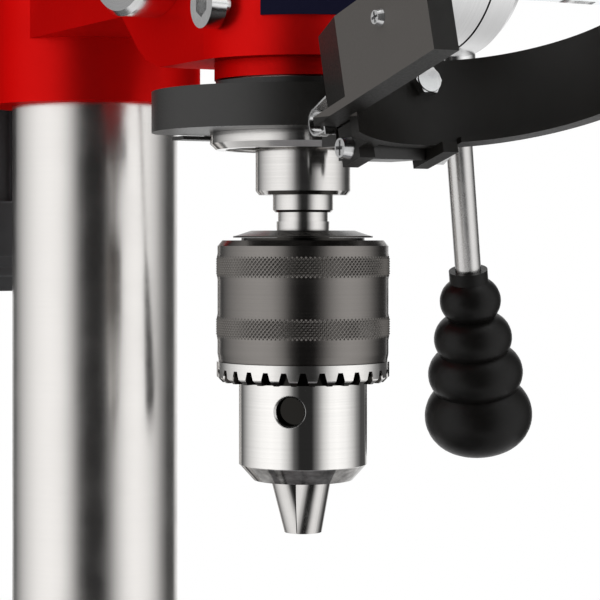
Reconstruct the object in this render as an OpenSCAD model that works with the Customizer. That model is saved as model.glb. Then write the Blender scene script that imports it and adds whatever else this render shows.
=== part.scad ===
// Bench pillar drill with key chuck, flip-up guard, belt drive and tilting table.
// Units are millimetres. Origin: column axis at the bench plane, +Z up, operator at -Y.

/* [Layout] */
// Distance from the column axis to the spindle axis
axis_gap = 156; // [140:1:180]
// Height of the top plane of the chuck above the bench
chuck_z = 495; // [440:1:540]
// Height of the head's top face over the quill's upper end
head_over = 18; // [14:1:30]

/* [Base and column] */
// Width of the base
base_w = 210; // [180:5:260]
// Depth of the base
base_d = 330; // [300:5:380]
// Height of the base
base_h = 36; // [28:1:50]
// Corner radius of the base
base_r = 22; // [8:1:40]
// Wall of the hollow base
base_wall = 12; // [8:1:20]
// Thickness of the base's top plate
base_top = 14; // [10:1:20]
// Distance of the base's rear edge behind the column axis
base_rear = 85; // [70:1:110]
// Distance of a bench bolt slot from the base's side
bench_in = 22; // [18:1:30]
// Half width of a bench bolt slot
bench_r = 5.5; // [4:0.5:7]
// End-to-end length of a bench bolt slot
bench_slot = 26; // [16:1:40]
// Radius of the column
col_r = 30; // [25:0.5:40]
// Wall of the column tube
col_wall = 4; // [3:0.5:8]
// Radius of the column flange
flange_r = 63; // [58:1:72]
// Thickness of the column flange
flange_t = 14; // [10:1:20]
// Radius of the flange's socket
socket_r = 40; // [37:1:46]
// Height of the flange's socket above the base
socket_h = 66; // [50:1:90]
// Radius of the flange bolt circle
flange_pcr = 51; // [48:0.5:54]
// Shank radius of a flange bolt
flange_bolt_r = 5; // [4:0.5:6]

/* [Head] */
// Radius of the head's round nose and half its width
nose_r = 33; // [30:0.5:40]
// Height of the nose's lower edge over the chuck plane
nose_up = 52; // [48:0.5:60]
// Radius of the quill boss under the nose
boss_r = 26.4; // [25:0.1:30]
// Height of the quill boss's lower edge over the chuck plane
boss_up = 47; // [44:0.5:52]
// Radius of the column boss
col_boss_r = 38.3; // [36:0.1:46]
// Height of the column boss's lower edge over the chuck plane
col_boss_up = 48; // [40:0.5:60]
// Height of the side wall's lower edge over the chuck plane
wall_up = 70; // [64:0.5:80]
// Distance of the feed axis behind the spindle axis
feed_back = 32; // [30:0.5:36]
// Height of the feed axis over the chuck plane
feed_up = 95; // [90:0.5:100]
// Radius of the return spring cap
cap_r = 27.8; // [22:0.1:32]
// Length of the return spring cap
cap_len = 12; // [8:0.5:16]
// Radius of the quill lock screw's head
lock_r = 7; // [5:0.5:9]

/* [Quill and guard collar] */
// Radius of the quill
quill_r = 23; // [21:0.5:25]
// Length of the quill
quill_len = 150; // [140:1:160]
// Height of the quill's lower end over the chuck plane
quill_up = 27; // [24:0.5:30]
// Radius of the ring at the quill's end
ring_r = 27.7; // [26:0.1:30]
// Radius of the guard collar
collar_r = 45; // [40:0.5:50]
// Distance of the guard collar's flat rear edge behind the spindle axis
collar_back = 28; // [26:0.5:34]
// Height of the guard collar's underside over the chuck plane
collar_up = 31.45; // [30:0.05:34]
// Height of the guard collar
collar_h = 11.95; // [10:0.05:15]
// Radius of the guard collar's upper ring
collar_ring_r = 26; // [24:0.1:30]
// Radius of the bearings in the quill's lower end
bear_r = 20; // [18:0.5:21]
// Radius of the spindle in those bearings
journal_r = 12.5; // [11:0.5:13]
// Radius of the upper quill bearing
bear2_r = 17; // [15:0.5:18]
// Radius of the spindle in the upper bearing
journal2_r = 8.5; // [7:0.5:9]

/* [Spindle and chuck] */
// Radius of the spindle nose
nose_end_r = 14.15; // [13:0.05:16]
// Height of the spindle nose's lower face over the chuck plane
nose_end_up = 13; // [11:0.1:15]
// Radius of the arbor's shoulder
arbor_r = 9; // [8:0.1:10]
// Radius of the arbor's neck
neck_r = 7.45; // [6:0.05:8]
// Radius of the chuck taper's large end
taper_r = 7.9; // [7:0.05:9]
// Length of the chuck taper
taper_len = 26; // [20:0.5:30]
// Radius of the plain sleeve
sleeve_r = 25.45; // [24:0.05:28]
// Radius of the knurled bands
knurl_r = 25.55; // [24:0.05:28]
// Radius of the toothed ring
tooth_r = 25.7; // [24:0.05:28]
// Radius of the chuck body
body_r = 19.1; // [18:0.05:21]
// Depth of the chuck body under the chuck plane
body_down = 71.4; // [68:0.1:78]
// Radius of the body's lower face
tip_r = 14.9; // [14:0.1:17]
// Height of the body's lower bevel
tip_h = 4.7; // [3:0.1:8]
// Radius of a key hole
key_r = 4.8; // [3:0.1:6]
// Count of teeth on the ring
tooth_n = 29; // [24:1:36]
// Radius of a jaw
jaw_r = 5.85; // [5:0.05:6]
// Angle of the jaws to the chuck axis
jaw_tilt = 14.5; // [12:0.5:18]
// Length of a jaw
jaw_len = 57.2; // [50:0.1:58]
// Depth of the jaws' tips under the chuck plane
jaw_down = 87.1; // [84:0.1:90]
// Angle of the chuck about its axis
chuck_turn = -48; // [-180:1:180]

/* [Feed] */
// Tooth module of rack and pinion
gear_m = 1.5; // [1:0.25:2]
// Tooth count of the pinion
gear_n = 14; // [12:1:16]
// Radius of the feed hub
hub_r = 34.7; // [28:0.1:38]
// Radius of a lever rod
rod_r = 4.5; // [3.5:0.1:6]
// Angle of the levers out of the hub's plane
rod_tilt = 12.8; // [5:0.1:25]
// Angle of the first lever behind straight down
rod_turn = 12.5; // [0:0.5:30]
// Distance of the levers' meeting point from the spindle plane
rod_root = 71.4; // [70:0.1:76]
// Length of a lever from the feed axis to its knob
rod_len = 111; // [95:1:130]
// Length of a knob
knob_len = 66.6; // [50:0.1:80]

/* [Guard] */
// Distance of the guard pin in front of the spindle axis
pin_front = 50.4; // [48:0.1:54]
// Height of the guard pin over the chuck plane
pin_up = 24.8; // [22:0.1:28]
// Radius of the guard pin
pin_r = 2; // [1.5:0.1:2.5]
// Upward slope of the raised guard
guard_slope = 14.9; // [0:0.1:20]
// Inner radius of the guard's band
band_r = 40; // [36:0.5:46]
// Wall of the guard's band
band_t = 3; // [2:0.1:4]
// Outer face of the guard's cheek, left of the spindle axis
cheek_out = 27; // [24:0.1:30]
// Thickness of the cheek
cheek_t = 7.3; // [5:0.1:9]
// Height of the cheek
cheek_h = 24.6; // [20:0.1:30]
// Height of the guard's band
band_h = 24.4; // [18:0.1:28]
// Distance of the guard's ears from its middle
ear_x = 11.4; // [10:0.1:14]
// Thickness of an ear
ear_t = 4.8; // [3:0.1:6]

/* [Belt drive] */
// Distance of the motor axis behind the column axis
motor_back = 140; // [125:1:160]
// Radius of the motor
motor_r = 60; // [50:1:66]
// Length of the motor
motor_len = 202; // [170:1:220]
// Radius of the middle pulley step
step_mid = 44; // [40:1:48]
// Change of radius from step to step
step_d = 6; // [4:0.5:8]
// Height of a pulley step
step_h = 14; // [12:0.5:16]
// Half width of the belt tray
tray_r = 74; // [70:1:80]
// Wall of tray and lid
sheet = 2.5; // [1.5:0.1:4]
// Height of the lid
lid_h = 76; // [70:1:90]

/* [Table] */
// Height of the table's top over the bench
table_top = 262; // [230:1:320]
// Width of the table
table_w = 200; // [180:1:230]
// Depth of the table
table_d = 190; // [170:1:210]
// Thickness of the table
table_t = 14; // [10:0.5:20]
// Radius of the tilt joint's faces
tilt_r = 30; // [24:1:36]
// Depth of the tilt axis under the table's top
tilt_down = 46; // [40:1:60]
// Outer radius of the column clamp
clamp_r = 43; // [40:1:50]
// Height of the column clamp
clamp_h = 66; // [50:1:80]

/* [Fits] */
// Radial clearance of running fits
fit = 0.05; // [0.02:0.01:0.1]
// Radial clearance of loose holes
loose = 0.3; // [0.2:0.05:0.6]

/* [Hidden] */
$fn = 64;
eps = 0.02;
base_mid = base_rear - base_d / 2;
bench_gap = base_w - 2 * bench_in;
nose_z = chuck_z + nose_up;
boss_z = chuck_z + boss_up;
col_boss_z = chuck_z + col_boss_up;
wall_z = chuck_z + wall_up;
lock_z = chuck_z + 67.1;
feed_y = -axis_gap + feed_back;
feed_z = chuck_z + feed_up;
quill_z = chuck_z + quill_up;
quill_top = quill_z + quill_len;
head_top = quill_top + head_over;
collar_z = chuck_z + collar_up;
nose_end_z = chuck_z + nose_end_up;
pitch_r = gear_m * gear_n / 2;
rack_y = feed_back - pitch_r;
rack_p = PI * gear_m;
jaw_meet = chuck_z - jaw_down + 1.9;
pulley_z = head_top + 12;
tray_z = head_top + 0.3;
tray_h = 22;
lid_z = tray_z + tray_h + 0.4;
lid_pin_x = -tray_r - 4.5;
plate_y = 62;
motor_top = head_top - 14;
motor_z = motor_top - motor_len;
bar_x = 47;
bar_z = head_top - 50;
bar_r = 7;
cavity_x = nose_r - 8;
tilt_z = table_top - tilt_down;
arm_y = -62;
seat_r = 21;
sleeve_in = 24;
guard_front = pin_front - 2.4;
guard_up = pin_up + 0.2;
cheek_low = 3.4;
cheek_top = cheek_low + cheek_h;
belt_in = step_mid - 5.7;
belt_out = step_mid - 0.6;
band_low = -2.2;
lug_w = 2 * ear_x - ear_t - 0.8;

// Moves children to the spindle axis, with z measured from the chuck plane
module at_chuck() {
  translate([0, -axis_gap, chuck_z]) children();
}

// Moves children to the feed axis, with their z axis along +X
module at_feed() {
  translate([0, feed_y, feed_z]) rotate([0, 90, 0]) children();
}

// Moves children to the raised guard's datum just behind its pin, with its slope
module at_guard() {
  translate([0, -axis_gap - guard_front, chuck_z + guard_up]) rotate([-guard_slope, 0, 0]) children();
}

// Plate with rounded corners, centred in x and y
module rounded_plate(w, d, h, r) {
  linear_extrude(h) {
    square([w - 2 * r, d], center = true);
    square([w, d - 2 * r], center = true);
    for (sx = [-1, 1], sy = [-1, 1])
      translate([sx * (w / 2 - r), sy * (d / 2 - r)]) circle(r);
  }
}

// Outline with two round ends at the spindle and motor axes
module belt_outline(r) {
  translate([0, -axis_gap]) circle(r);
  translate([0, motor_back]) circle(r);
  translate([-r, -axis_gap]) square([2 * r, axis_gap + motor_back]);
}

// Slot along x
module slot_x(len, r, h) {
  for (s = [-1, 1])
    translate([s * (len / 2 - r), 0, 0]) cylinder(r = r, h = h);
  translate([-(len / 2 - r), -r, 0]) cube([len - 2 * r, 2 * r, h]);
}

// Hexagon bolt head with shank below z = 0
module hex_bolt(r, af, head, len) {
  cylinder(r = af / sqrt(3), h = head, $fn = 6);
  translate([0, 0, -len]) cylinder(r = r, h = len + eps);
}

// Pan head screw with a cross recess, shank below z = 0
module cross_screw(r, head_r, head, len) {
  difference() {
    union() {
      cylinder(r1 = head_r, r2 = head_r - 0.6, h = head);
      translate([0, 0, -len]) cylinder(r = r, h = len + eps);
    }
    for (a = [0, 90])
      rotate(a) translate([-0.62 * head_r, -0.14 * head_r, head - 1]) cube([1.24 * head_r, 0.28 * head_r, 2]);
  }
}

// Six-key spline section
module spline(grow) {
  circle(6.2 + grow);
  for (a = [0 : 60 : 120])
    rotate(a) square([2 * (7.6 + grow), 3 + 2 * grow], center = true);
}

module base() {
  color("dimgray") difference() {
    translate([0, base_mid, 0]) rounded_plate(base_w, base_d, base_h, base_r);
    difference() {
      translate([0, base_mid, -1])
        rounded_plate(base_w - 2 * base_wall, base_d - 2 * base_wall, base_h - base_top + 1, base_r - 8);
      cylinder(r = flange_r, h = base_h);
      for (s = [-1, 1])
        translate([s * bench_gap / 2 - 22, -14, 0]) cube([44, 28, base_h]);
      translate([-5, base_mid - base_d / 2, 6]) cube([10, base_d, base_h]);
      for (y = [-100, -180])
        translate([-base_w / 2 + 2, y - 4, 6]) cube([base_w - 4, 8, base_h]);
    }
    for (s = [-1, 1])
      translate([s * bench_gap / 2, 0, -1]) slot_x(bench_slot, bench_r, base_h + 2);
    for (s = [-1, 1])
      translate([s * 48, -150, -1]) rotate(90) slot_x(130, 6, base_h + 2);
    for (a = [45 : 90 : 315])
      rotate(a) translate([flange_pcr, 0, -1]) cylinder(r = flange_bolt_r + fit, h = base_h + 2);
  }
}

module column_flange() {
  color("dimgray") translate([0, 0, base_h + fit]) difference() {
    union() {
      cylinder(r = flange_r, h = flange_t);
      cylinder(r = socket_r, h = socket_h);
    }
    translate([0, 0, -1]) cylinder(r = col_r + fit, h = socket_h + 2);
    for (a = [45 : 90 : 315])
      rotate(a) translate([flange_pcr, 0, -1]) cylinder(r = flange_bolt_r + loose, h = flange_t + 2);
  }
}

module flange_bolts() {
  color("silver") for (a = [45 : 90 : 315])
    rotate(a) translate([flange_pcr, 0, base_h + flange_t + 2 * fit])
      hex_bolt(flange_bolt_r, 16, 6.4, flange_t + 16);
}

module column() {
  color("lightgray") translate([0, 0, base_h + fit]) difference() {
    cylinder(r = col_r, h = head_top - 10 - base_h);
    translate([0, 0, -1]) cylinder(r = col_r - col_wall, h = head_top - 8 - base_h);
  }
}

// Side outline of the head's box, drawn as y and z
module head_side() {
  polygon([
    [-axis_gap, nose_z],
    [-axis_gap + 30, nose_z],
    [-axis_gap + 40, nose_z + 3],
    [-axis_gap + 46, nose_z + 7],
    [-axis_gap + 58, wall_z],
    [0, wall_z],
    [0, head_top],
    [-axis_gap, head_top]
  ]);
}

module head() {
  color("firebrick") difference() {
    union() {
      translate([0, 0, col_boss_z]) cylinder(r = col_boss_r, h = head_top - col_boss_z);
      translate([0, -axis_gap, nose_z]) cylinder(r = nose_r, h = head_top - nose_z);
      translate([0, -axis_gap, boss_z]) cylinder(r = boss_r, h = nose_z - boss_z + 1);
      translate([-nose_r, 0, 0]) rotate([90, 0, 90]) linear_extrude(2 * nose_r) head_side();
      for (s = [-1, 1])
        translate([s * bar_x - 12, -66, bar_z - 13]) cube([24, 84, 26]);
    }
    translate([0, 0, col_boss_z - 1]) cylinder(r = col_r + fit, h = head_top - 9 - col_boss_z + 1);
    translate([0, -axis_gap, boss_z - 1]) cylinder(r = quill_r + fit, h = quill_top + 3 - boss_z + 1);
    translate([0, -axis_gap, quill_top]) cylinder(r = seat_r + fit, h = head_top);
    translate([-cavity_x, -106, wall_z + 8]) cube([2 * cavity_x, 60, head_top]);
    translate([-nose_r - 1, 0, 0]) at_feed() cylinder(r = 8 + fit, h = 2 * nose_r + 2);
    translate([-14.5, 0, 0]) at_feed() cylinder(r = 12.5 + fit, h = nose_r + 20);
    translate([-nose_r - 1, -axis_gap - 8.6, lock_z]) rotate([0, 90, 0]) cylinder(r = 4 + fit, h = nose_r);
    for (s = [-1, 1])
      translate([s * bar_x, -60, bar_z]) rotate([-90, 0, 0]) cylinder(r = bar_r + fit, h = 100);
    translate([-bar_x - 13, -30, bar_z]) rotate([0, 90, 0]) cylinder(r = 4 + fit, h = 13);
    for (z = [30, 100])
      translate([0, 0, col_boss_z + z]) rotate([0, 90, 0]) cylinder(r = 4 + fit, h = 60);
  }
}

module head_screws() {
  color("dimgray") for (z = [30, 100])
    translate([col_r + 0.1, 0, col_boss_z + z]) rotate([0, 90, 0]) difference() {
      cylinder(r = 4, h = 9);
      translate([0, 0, 5]) cylinder(r = 2.3, h = 6, $fn = 6);
    }
}

module front_plate() {
  color("midnightblue") translate([0, -axis_gap, chuck_z + 63.3]) difference() {
    intersection() {
      cylinder(r = nose_r + 0.7, h = 52);
      linear_extrude(52) polygon([[0, 0], [-80, -67], [-80, -90], [80, -90], [80, -67]]);
    }
    translate([0, 0, -1]) cylinder(r = nose_r + fit, h = 60);
  }
}

module spring_cap() {
  color("silver") translate([-nose_r - cap_len - fit, 0, 0]) at_feed() difference() {
    union() {
      cylinder(r1 = cap_r - 1.5, r2 = cap_r, h = 1.5);
      translate([0, 0, 1.5]) cylinder(r = cap_r, h = cap_len - 1.5);
    }
    translate([0, 0, 2.5]) cylinder(r = cap_r - 2.5, h = cap_len);
    translate([0, 0, -1]) cylinder(r = 6.5, h = 6);
  }
}

// Flat spiral from inner to outer radius
function spiral(i, n, r0, r1, turns) =
  let (t = i / n) (r0 + (r1 - r0) * t) * [cos(360 * turns * t), sin(360 * turns * t)];

module return_spring() {
  n = 120;
  inner = [for (i = [0 : n]) spiral(i, n, 10, 23.2, 4)];
  outer = [for (i = [n : -1 : 0]) spiral(i, n, 10.9, 24.1, 4)];
  color("gray") translate([-nose_r - cap_len + 3, 0, 0]) at_feed()
    linear_extrude(cap_len - 4.5) polygon(concat(inner, outer));
}

module quill_lock() {
  color("silver") translate([-nose_r - 5, -axis_gap - 8.6, lock_z]) rotate([0, 90, 0]) difference() {
    union() {
      cylinder(r = lock_r, h = 4.8);
      cylinder(r = 4, h = 12);
    }
    translate([0, 0, -1]) cylinder(r = 3.9, h = 4.5, $fn = 6);
  }
}

module belt_tray() {
  color("dimgray") translate([0, 0, tray_z]) difference() {
    union() {
      linear_extrude(tray_h) belt_outline(tray_r);
      for (y = [-110, 90])
        translate([lid_pin_x - 4, y - 12, tray_h - 12]) cube([10, 24, 12]);
      for (y = [-110, 90])
        translate([lid_pin_x, y - 12, tray_h]) rotate([-90, 0, 0]) cylinder(r = 4, h = 24);
    }
    translate([0, 0, sheet]) linear_extrude(tray_h) belt_outline(tray_r - sheet);
    translate([0, -axis_gap, -1]) cylinder(r = 24, h = 10);
    translate([0, motor_back - 5, -1]) rotate(90) slot_x(44, 14, 10);
    for (s = [-1, 1])
      translate([s * 30, -90, -1]) cylinder(r = 3 + fit, h = 10);
    for (s = [-1, 1])
      translate([s * 30, -20, -1]) cylinder(r = 3 + fit, h = 10);
    for (y = [-110, 90])
      translate([lid_pin_x, y - 13, tray_h]) rotate([-90, 0, 0]) cylinder(r = 2 + fit, h = 26);
  }
}

module tray_screws() {
  color("silver") for (s = [-1, 1], y = [-90, -20])
    translate([s * 30, y, tray_z + sheet + fit]) {
      cylinder(r1 = 5.5, r2 = 4.5, h = 2.5);
      translate([0, 0, -2.6]) cylinder(r = 3, h = 3);
    }
}

module lid_pin() {
  color("silver") translate([lid_pin_x, -130, tray_z + tray_h]) rotate([-90, 0, 0]) cylinder(r = 2, h = 240);
}

module pulley_bearing() {
  color("silver") translate([0, -axis_gap, head_top - 14]) difference() {
    cylinder(r = seat_r, h = 12);
    translate([0, 0, -1]) cylinder(r = 10 + fit, h = 14);
    for (z = [-0.2, 11.4])
      translate([0, 0, z]) difference() {
        cylinder(r = 17.5, h = 0.8);
        translate([0, 0, -1]) cylinder(r = 13, h = 3);
      }
  }
}

module switch_box() {
  color("black") translate([0, -axis_gap - nose_r, head_top - 30]) difference() {
    translate([-24, -19, -26]) cube([48, 26, 52]);
    translate([0, nose_r, -30]) cylinder(r = nose_r + fit, h = 60);
    for (s = [-1, 1])
      translate([s * 11 - 8, -20, -12]) cube([16, 8, 24]);
    for (s = [-1, 1])
      translate([s * 11, -20, 0]) rotate([-90, 0, 0]) cylinder(r = 2.5, h = 14);
  }
}

module button_shape(s) {
  translate([s * 11, -axis_gap - nose_r - 21, head_top - 30]) {
    translate([-7.6, 0, -11.6]) cube([15.2, 5, 23.2]);
    rotate([-90, 0, 0]) cylinder(r = 2.2, h = 11);
  }
}

module button_on() {
  color("green") button_shape(-1);
}

module button_off() {
  color("red") button_shape(1);
}

// Gap between two rack teeth, drawn across the quill
module rack_gap() {
  w = rack_p / 4 + 0.22;
  k = tan(20);
  translate([-quill_r - 1, 0, 0]) rotate([90, 0, 90]) linear_extrude(2 * quill_r + 2) polygon([
    [rack_y - 1.25 * gear_m, -w + 1.25 * gear_m * k],
    [rack_y + 2 * gear_m, -w - 2 * gear_m * k],
    [rack_y + 2 * gear_m, w + 2 * gear_m * k],
    [rack_y - 1.25 * gear_m, w - 1.25 * gear_m * k]
  ]);
}

module quill() {
  color("lightgray") translate([0, -axis_gap, quill_z]) difference() {
    cylinder(r = quill_r, h = quill_len);
    translate([0, 0, -1]) cylinder(r = bear_r + fit, h = 25);
    translate([0, 0, -1]) cylinder(r = journal_r + 1.5, h = quill_len + 2);
    translate([0, 0, quill_len - 14]) cylinder(r = bear2_r + fit, h = 20);
    for (i = [-3 : 15])
      translate([0, 0, feed_up - quill_up + i * rack_p]) rack_gap();
  }
}

module quill_ring() {
  color("silver") at_chuck() translate([0, 0, quill_up - 0.6]) difference() {
    union() {
      cylinder(r1 = ring_r - 1.8, r2 = ring_r, h = 1.8);
      translate([0, 0, 1.8 - eps]) cylinder(r = ring_r, h = collar_up - quill_up - 1.25);
    }
    translate([0, 0, -1]) cylinder(r = quill_r + fit, h = 20);
  }
}

// Ring bearing from z = 0 upwards
module ring_bearing(bore, out, h) {
  difference() {
    cylinder(r = out, h = h);
    translate([0, 0, -1]) cylinder(r = bore + fit, h = h + 2);
    for (z = [-0.3, h - 0.5])
      translate([0, 0, z]) difference() {
        cylinder(r = out - 2, h = 0.8);
        translate([0, 0, -1]) cylinder(r = bore + 2, h = 3);
      }
  }
}

module quill_bearings() {
  color("silver") translate([0, -axis_gap, quill_z]) {
    translate([0, 0, 2]) ring_bearing(journal_r, bear_r, 10);
    translate([0, 0, 12.1]) ring_bearing(journal_r, bear_r, 10);
    translate([0, 0, quill_len - 13]) ring_bearing(journal2_r, bear2_r, 11);
  }
}

module guard_collar() {
  lug_low = pin_up - pin_r - 0.95;
  color("black") at_chuck() difference() {
    union() {
      intersection() {
        translate([0, 0, collar_up]) cylinder(r = collar_r, h = collar_h);
        translate([-collar_r - 1, -collar_r - 1, collar_up - 1])
          cube([2 * collar_r + 2, collar_r + 1 + collar_back, collar_h + 2]);
      }
      translate([0, 0, collar_up]) cylinder(r = collar_ring_r, h = boss_up - 0.5 - collar_up);
      translate([-13, collar_back - 3, collar_up]) cube([26, 15, collar_h]);
      translate([-25, collar_back + 2, collar_up - 1.1]) cube([50, 8, 1.1 + eps]);
      translate([-12, -collar_r + 4.5, collar_up - 5.75]) cube([24, 8, 8]);
      translate([-lug_w / 2, -pin_front - pin_r - 1.6, lug_low]) cube([lug_w, 10, 2 * pin_r + 2.45]);
      translate([-lug_w / 2, -pin_front + 4.4, lug_low]) cube([lug_w, 10, collar_up + 1 - lug_low]);
    }
    translate([0, 0, collar_up - 20]) cylinder(r = quill_r + fit, h = 60);
    translate([0, 0, collar_up - 20]) cylinder(r = ring_r + 0.4, h = 20);
    translate([-1.5, 0, collar_up - 2]) cube([3, collar_back + 20, collar_h + 8]);
    translate([-lug_w, -pin_front, pin_up]) rotate([0, 90, 0]) cylinder(r = pin_r + fit, h = 2 * lug_w);
    translate([-20, collar_back + 7, collar_up + collar_h / 2]) rotate([0, 90, 0]) cylinder(r = 2.5 + fit, h = 40);
  }
}

module collar_screw() {
  color("silver") at_chuck() translate([-13 - fit, collar_back + 7, collar_up + collar_h / 2]) rotate([0, 90, 0]) {
    difference() {
      translate([0, 0, -4]) cylinder(r = 4.2, h = 4);
      translate([0, 0, -5]) cylinder(r = 2.3, h = 3.5, $fn = 6);
    }
    translate([0, 0, -eps]) cylinder(r = 2.5, h = 32);
    translate([0, 0, 26 + 2 * fit]) cylinder(r = 4.6, h = 4, $fn = 6);
  }
}

module guard_pin() {
  reach = ear_x + ear_t / 2 + fit;
  color("silver") at_chuck() translate([-reach, -pin_front, pin_up]) rotate([0, 90, 0]) {
    rotate([180, 0, 0]) cross_screw(pin_r, 3.3, 2.8, 0.1);
    cylinder(r = pin_r, h = 2 * reach + 4.4);
    translate([0, 0, 2 * reach]) cylinder(r = 4, h = 3.2, $fn = 6);
  }
}

module spindle() {
  color("lightgray") translate([0, -axis_gap, 0]) difference() {
    union() {
      translate([0, 0, nose_end_z]) cylinder(r1 = nose_end_r - 1, r2 = nose_end_r, h = 1.2);
      translate([0, 0, nose_end_z + 1.2 - eps]) cylinder(r = nose_end_r, h = quill_z + 1.9 - nose_end_z - 1.2);
      translate([0, 0, quill_z]) cylinder(r = journal_r, h = 60);
      translate([0, 0, quill_z]) cylinder(r = journal2_r, h = quill_len - 1);
      translate([0, 0, quill_z + quill_len - 2]) linear_extrude(98) spline(0);
    }
    translate([0, 0, nose_end_z - 1]) cylinder(r1 = arbor_r - 0.05, r2 = 7.2, h = 66);
  }
}

module arbor() {
  color("silver") translate([0, -axis_gap, 0]) {
    translate([0, 0, nose_end_z + 0.1]) cylinder(r1 = arbor_r - 0.15, r2 = 7.1, h = 62);
    translate([0, 0, chuck_z + 8.6]) cylinder(r = arbor_r, h = nose_end_up - 8.6 - fit);
    translate([0, 0, nose_end_z - 1]) cylinder(r = arbor_r - 0.6, h = 2);
    translate([0, 0, chuck_z + 7.9]) cylinder(r1 = arbor_r - 0.7, r2 = arbor_r, h = 0.7 + eps);
    translate([0, 0, chuck_z + 5]) cylinder(r = neck_r, h = 4);
    translate([0, 0, chuck_z + 5.2 - taper_len]) cylinder(r1 = taper_r - 0.65, r2 = taper_r, h = taper_len);
  }
}

// Moves children to a jaw's axis, which meets the chuck axis at z = 0
module at_jaw(i) {
  translate([0, -axis_gap, jaw_meet]) rotate(chuck_turn - 30 + 120 * i) rotate([0, jaw_tilt, 0]) children();
}

module chuck_body() {
  color("silver") difference() {
    at_chuck() union() {
      translate([0, 0, -body_down]) cylinder(r1 = tip_r, r2 = body_r, h = tip_h);
      translate([0, 0, -body_down + tip_h - eps]) cylinder(r = body_r, h = body_down - tip_h - 34);
      translate([0, 0, -34.2]) cylinder(r = body_r - 0.7, h = 34.55);
    }
    at_chuck() translate([0, 0, 5.2 - taper_len - 3])
      cylinder(r1 = taper_r - 0.65, r2 = taper_r + 0.2, h = taper_len + 3);
    at_chuck() translate([0, 0, -body_down - 1]) cylinder(r = 6.7, h = 46);
    for (i = [0 : 2])
      at_jaw(i) translate([0, 0, 5]) cylinder(r = jaw_r + fit, h = jaw_len + 16);
    for (i = [0 : 2])
      at_chuck() rotate(chuck_turn + 7 + 120 * i) translate([0, -body_r - 1, -50]) rotate([-90, 0, 0])
        cylinder(r = key_r, h = 5);
  }
}

module chuck_cap() {
  color("black") at_chuck() translate([0, 0, 0.4]) difference() {
    union() {
      cylinder(r = 20.8, h = 0.5);
      translate([0, 0, 0.5 - eps]) cylinder(r1 = 20.3, r2 = 15.5, h = 1.6);
    }
    translate([0, 0, -1]) cylinder(r = taper_r + 0.3, h = 5);
  }
}

module chuck_sleeve() {
  color("black") at_chuck() difference() {
    union() {
      translate([0, 0, -36.2]) cylinder(r1 = sleeve_r - 0.4, r2 = sleeve_r, h = 2.2);
      translate([0, 0, -34 - eps]) cylinder(r = sleeve_r, h = 32);
      translate([0, 0, -2.2]) cylinder(r1 = sleeve_r, r2 = sleeve_r - 1.4, h = 1.8);
      translate([0, 0, -11.7]) cylinder(r = knurl_r, h = 7.2);
      translate([0, 0, -29.6]) cylinder(r = knurl_r, h = 7.2);
    }
    translate([0, 0, -40]) cylinder(r = body_r + fit, h = 50);
    translate([0, 0, -40]) cylinder(r = body_r + 1.1, h = 10);
    translate([0, 0, -33.4]) cylinder(r = sleeve_in + fit, h = 30.4);
  }
}

module tooth_ring() {
  color("silver") at_chuck() translate([0, 0, -42.3]) difference() {
    union() {
      cylinder(r1 = tooth_r - 1.6, r2 = tooth_r, h = 1.6);
      translate([0, 0, 1.6 - eps]) cylinder(r = tooth_r, h = 4.45);
    }
    translate([0, 0, -1]) cylinder(r = body_r + fit, h = 10);
    for (i = [0 : tooth_n - 1])
      rotate(360 / tooth_n * i - 4.3) translate([0, -body_r - 2, 0]) rotate([90, 0, 0]) linear_extrude(8)
        polygon([[-2.1, -1], [-1.85, 0], [-0.75, 3.9], [0.75, 3.9], [1.85, 0], [2.1, -1]]);
  }
}

module chuck_nut() {
  color("gray") at_chuck() translate([0, 0, -33.3]) difference() {
    cylinder(r = sleeve_in, h = 6.5);
    translate([0, 0, -eps]) cylinder(r1 = 19.75, r2 = 21.5, h = 6.6);
  }
}

module jaw(i) {
  color("silver") intersection() {
    at_jaw(i) translate([0, 0, -3.5]) cylinder(r = jaw_r, h = jaw_len);
    translate([0, -axis_gap, jaw_meet]) rotate(chuck_turn - 30 + 120 * i) translate([0, 0, -1.9]) linear_extrude(64)
      polygon([[0.15, 0], [30.15, 52], [60, 0], [30.15, -52]]);
  }
}

module jaw_a() {
  jaw(0);
}

module jaw_b() {
  jaw(1);
}

module jaw_c() {
  jaw(2);
}

module feed_shaft() {
  rot = 360 / gear_n;
  color("gray") at_feed() {
    translate([0, 0, -nose_r - cap_len - 2]) cylinder(r = 6, h = 20);
    translate([0, 0, -nose_r - 0.5]) cylinder(r = 8, h = 50);
    translate([0, 0, -12]) cylinder(r = pitch_r - 1.25 * gear_m, h = 24);
    translate([0, 0, -12]) linear_extrude(24) for (i = [0 : gear_n - 1])
      rotate(rot * i - 90) polygon([[8, 1.35], [11.7, 0.4], [11.7, -0.4], [8, -1.35]]);
    translate([0, 0, 13]) cylinder(r = 12.5, h = 23);
    translate([0, 0, 35]) cylinder(r = 10, h = 40);
  }
}

// Moves children to lever i, with their z axis along the lever
module at_lever(i) {
  at_feed() translate([0, 0, rod_root]) rotate(rod_turn + 120 * i) rotate([0, 90 - rod_tilt, 0]) children();
}

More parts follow.
